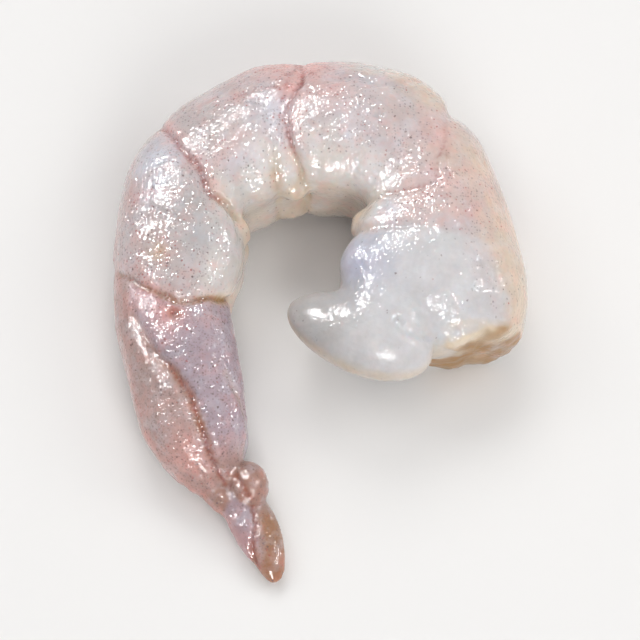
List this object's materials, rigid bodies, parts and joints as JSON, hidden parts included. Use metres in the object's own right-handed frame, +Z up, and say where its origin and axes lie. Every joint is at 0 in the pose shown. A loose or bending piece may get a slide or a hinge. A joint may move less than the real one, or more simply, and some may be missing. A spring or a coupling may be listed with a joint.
{
  "type": "raw tiger prawn",
  "caption": "Raw tiger prawn, peeled and headless, curled up and lying on its side, with creased segments, a flap of flesh at the head end and the bare flesh of the tail fan.",
  "frame": {"origin": "middle of the bounding box, on the surface the prawn lies on", "axes": "+Z up. The prawn lies on its side with its curl in the XY plane: the back is on the outside of the curl, +Y is away from the tail, and the cut head end is at +X."},
  "size_m": [0.0492, 0.0648, 0.0158],
  "materials": {
    "raw_flesh": "wet, pale grey to pink raw flesh"
  },
  "bodies": {
    "root": {"prawn": "raw_flesh"}
  },
  "joints": []
}
